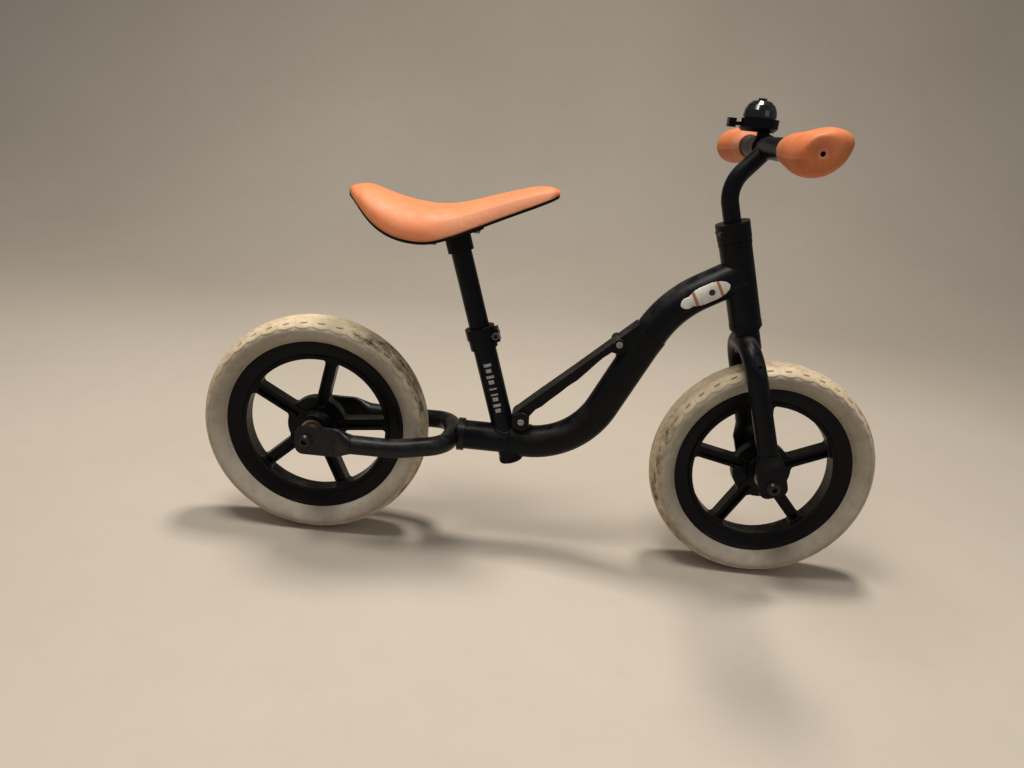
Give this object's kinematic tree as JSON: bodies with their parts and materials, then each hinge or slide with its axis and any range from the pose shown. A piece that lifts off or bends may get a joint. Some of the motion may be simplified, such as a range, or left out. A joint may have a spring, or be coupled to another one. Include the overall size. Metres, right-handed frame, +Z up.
{
  "type": "balance bike",
  "caption": "Child's balance bike with a dark painted steel frame, cream solid tyres, orange saddle and grips, a bell and a carry handle.",
  "frame": {"origin": "on the floor, midway between the two axles, in the middle of the width", "axes": "+X forward along the length, +Y to the rider's left, +Z up"},
  "size_m": [0.765, 0.32, 0.5226],
  "materials": {
    "tyre_cream": "matte",
    "wheel_black": "satin",
    "bearing_steel": "brushed",
    "axle_steel": "brushed",
    "bolt_black": "satin",
    "frame_paint": "satin",
    "collar_black": "satin",
    "plastic_black": "satin",
    "bell_gloss": "gloss",
    "saddle_orange": "matte",
    "grip_orange": "matte"
  },
  "bodies": {
    "frame": {"head_tube": "frame_paint", "main_tube": "frame_paint", "seat_tube": "frame_paint", "rear_stay_right": "frame_paint", "rear_stay_left": "frame_paint", "rear_yoke_ring": "frame_paint", "seat_tube_plug": "plastic_black", "seat_collar": "collar_black", "seat_collar_bolt": "bolt_black", "carry_handle_right": "plastic_black", "carry_handle_left": "plastic_black", "carry_handle_screws": "axle_steel", "headset_upper_bush": "plastic_black", "headset_lower_bush": "plastic_black", "rear_axle": "axle_steel", "rear_axle_bolts": "bolt_black", "rear_axle_spacers": "axle_steel", "rear_bearing_inner_rings": "bearing_steel"},
    "rear_wheel": {"rear_tyre": "tyre_cream", "rear_wheel_core": "wheel_black", "rear_bearing_outer_rings": "bearing_steel", "rear_bearing_balls": "bearing_steel"},
    "front_wheel": {"front_tyre": "tyre_cream", "front_wheel_core": "wheel_black", "front_bearing_outer_rings": "bearing_steel", "front_bearing_balls": "bearing_steel"},
    "fork": {"steerer_tube": "frame_paint", "fork_crown": "frame_paint", "fork_leg_right": "frame_paint", "fork_leg_left": "frame_paint", "headset_crown_race": "axle_steel", "headset_dust_ring": "collar_black", "stem_collar": "collar_black", "stem_collar_bolt": "bolt_black", "front_axle": "axle_steel", "front_axle_bolts": "bolt_black", "front_axle_spacers": "axle_steel", "front_bearing_inner_rings": "bearing_steel"},
    "handlebar": {"handlebar_stem": "frame_paint", "handlebar_crossbar": "frame_paint", "grip_right": "grip_orange", "grip_left": "grip_orange", "bell_clamp": "plastic_black", "bell_clamp_screw": "axle_steel", "bell_base": "plastic_black", "bell_dome": "bell_gloss", "bell_dome_screw": "axle_steel", "bell_lever_pin": "axle_steel"},
    "bell_lever": {"bell_lever": "plastic_black"},
    "seat": {"seat_post": "frame_paint", "saddle_socket": "plastic_black", "saddle_base": "plastic_black", "saddle_cover": "saddle_orange", "saddle_screws": "axle_steel"}
  },
  "joints": [
    {"name": "rear_wheel_spin", "type": "hinge", "parent": "frame", "child": "rear_wheel", "pos_m": [-0.2555, 0, 0.127], "axis": [0, 1, 0], "continuous": true},
    {"name": "steering", "type": "hinge", "parent": "frame", "child": "fork", "pos_m": [0.25921, 0, 0.12819], "axis": [-0.3057, 0, 0.9521], "range_deg": [-90, 90]},
    {"name": "front_wheel_spin", "type": "hinge", "parent": "fork", "child": "front_wheel", "pos_m": [0.2555, 0, 0.127], "axis": [0, 1, 0], "continuous": true},
    {"name": "handlebar_height", "type": "slide", "parent": "fork", "child": "handlebar", "axis": [-0.3057, 0, 0.9521], "range_m": [0, 0.035]},
    {"name": "seat_height", "type": "slide", "parent": "frame", "child": "seat", "axis": [-0.3107, 0, 0.9505], "range_m": [-0.058, 0.02]},
    {"name": "bell_lever_swing", "type": "hinge", "parent": "handlebar", "child": "bell_lever", "pos_m": [0.1769, 0.029, 0.4985], "axis": [0, 0, 1], "range_deg": [-18, 0], "stiffness_Nm_per_rad": 0.06, "springref_deg": 2.86}
  ]
}
